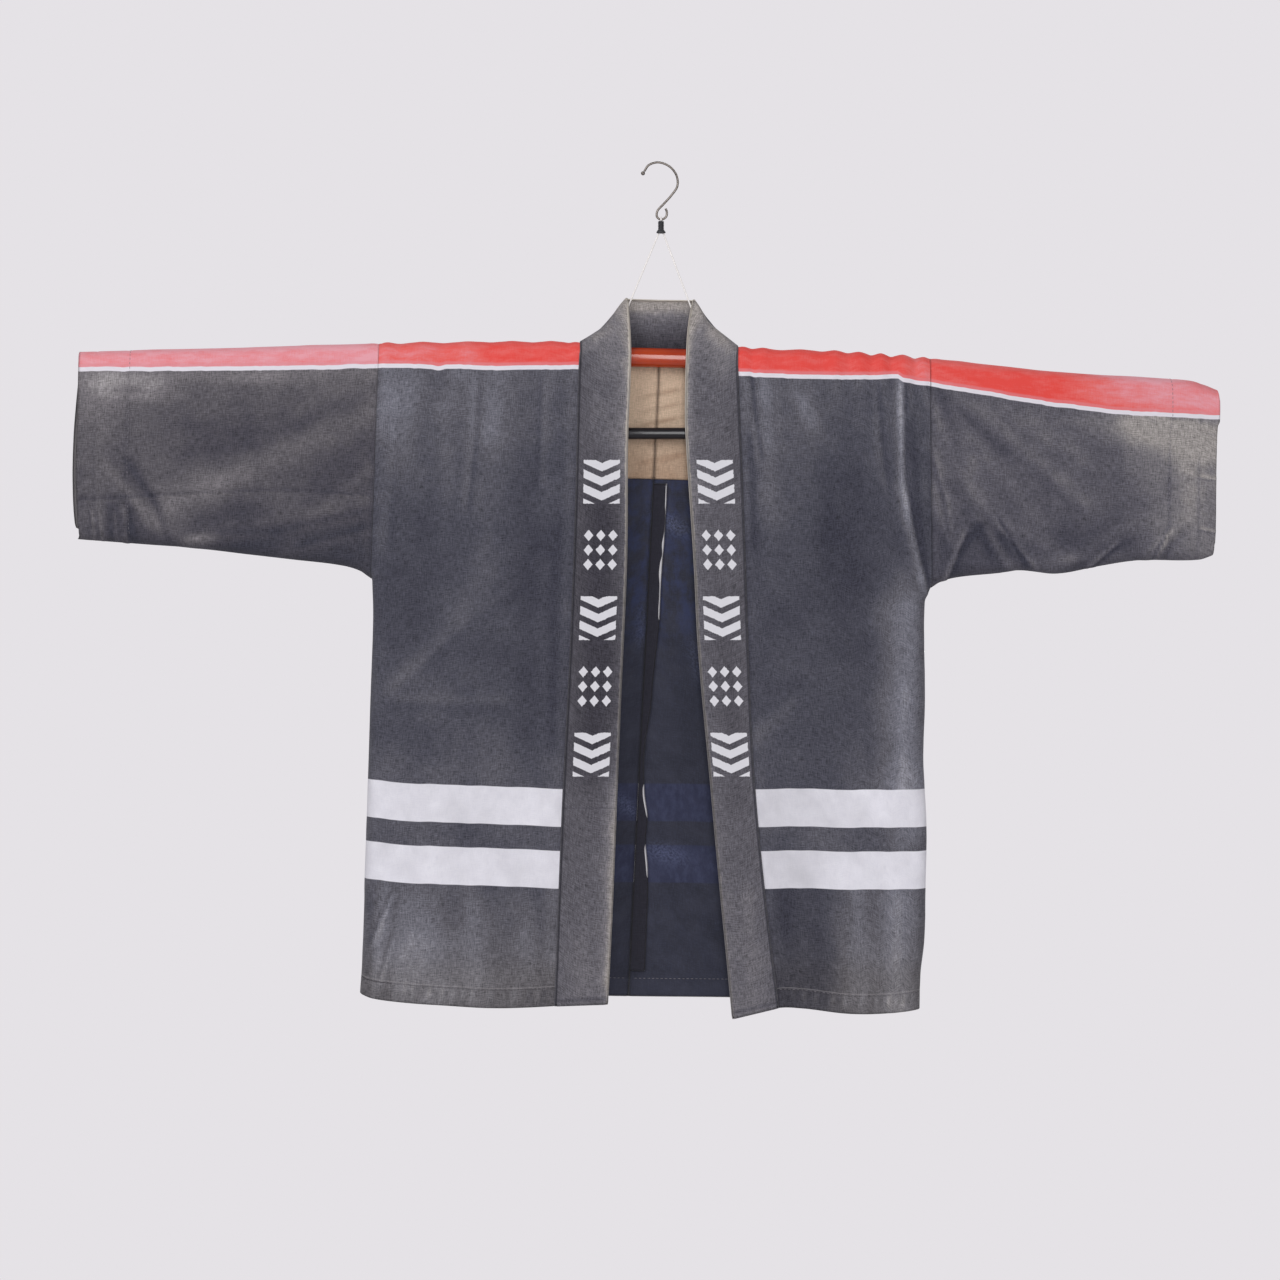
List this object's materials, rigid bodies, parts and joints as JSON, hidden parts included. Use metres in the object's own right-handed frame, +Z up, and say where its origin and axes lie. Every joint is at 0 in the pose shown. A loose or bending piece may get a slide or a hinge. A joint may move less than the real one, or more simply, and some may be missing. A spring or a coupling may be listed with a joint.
{
  "type": "japanese fireman coat on a kimono hanger",
  "caption": "Short wide-sleeved indigo cotton coat with striped hem and shoulder band, open in front, hung flat on a telescopic rod hanger with a hook.",
  "frame": {"origin": "inner top of the hanger's hook, where the hook rests on a rail, ring or nail", "axes": "+Z up, -Y towards the viewer in front of the coat, +X to the right as seen from the front, along the sleeves"},
  "size_m": [1.2587, 0.0443, 0.9445],
  "materials": {
    "indigo_cotton": "washed indigo plain-weave cotton, faded to grey at folds and edges, with white stripes and a red shoulder band",
    "collar_cotton": "double indigo cotton, faded grey along its edges, with white printed motifs",
    "tan_cotton": "unbleached tan plain cotton",
    "red_lacquer": "glossy red-brown lacquered tube",
    "black_lacquer": "glossy black bar and arms",
    "black_plastic": "satin black plastic",
    "steel_wire": "dark bright-drawn steel wire",
    "white_cord": "thin twisted white cord"
  },
  "bodies": {
    "root": {"body_panel_left": "indigo_cotton", "body_panel_right": "indigo_cotton", "sleeve_left": "indigo_cotton", "sleeve_right": "indigo_cotton", "back_seam_allowance": "indigo_cotton", "collar_band": "collar_cotton", "yoke_lining_left": "tan_cotton", "yoke_lining_right": "tan_cotton", "hanger_tube": "red_lacquer", "hanger_slide_left": "black_lacquer", "hanger_slide_right": "black_lacquer", "hanger_rod_left": "black_lacquer", "hanger_rod_right": "black_lacquer", "hanger_end_left": "black_plastic", "hanger_end_right": "black_plastic", "obi_bar": "black_lacquer", "hanger_cord_left": "white_cord", "hanger_cord_right": "white_cord", "cord_knot_left": "white_cord", "cord_knot_right": "white_cord", "cord_loop": "white_cord", "cord_toggle": "black_plastic", "hanger_hook": "steel_wire", "hook_tip": "steel_wire"}
  },
  "joints": []
}
